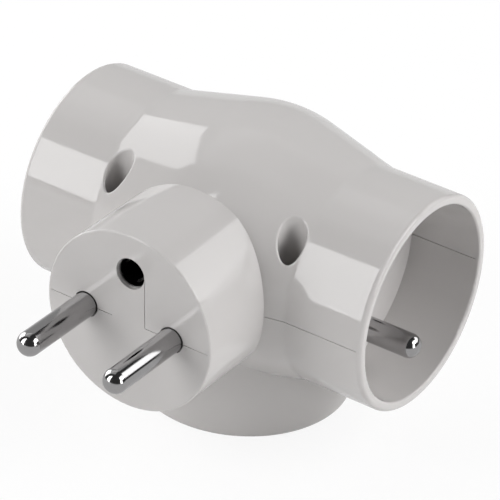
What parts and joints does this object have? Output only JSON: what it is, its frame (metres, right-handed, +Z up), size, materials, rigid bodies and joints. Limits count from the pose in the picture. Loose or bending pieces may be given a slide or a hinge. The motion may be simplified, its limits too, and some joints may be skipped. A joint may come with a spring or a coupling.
{
  "type": "multi socket adapter",
  "caption": "Round earthed mains plug on a swollen cross tube, with a recessed earthed socket at each end of the tube and another underneath, on whose rim it stands.",
  "frame": {"origin": "middle of the plug's flat face, halfway between the two pins", "axes": "-Y the way the plug points, +Z up from the rim it stands on, +X along the side sockets to the right-hand one"},
  "size_m": [0.077, 0.0836, 0.0577],
  "materials": {
    "housing": "smooth glossy moulding",
    "plated_pins": "nickel plated and polished",
    "contact_brass": "bright stamped sheet",
    "screw_steel": "zinc plated"
  },
  "bodies": {
    "root": {"upper_shell": "housing", "lower_shell": "housing", "plug_pin_left": "plated_pins", "plug_pin_right": "plated_pins", "earth_pin_left": "plated_pins", "earth_pin_right": "plated_pins", "earth_pin_bottom": "plated_pins", "front_contact_bar": "contact_brass", "rear_contact_bar": "contact_brass", "earth_strap": "contact_brass", "earth_sleeve": "plated_pins", "housing_screws": "screw_steel"}
  },
  "joints": []
}
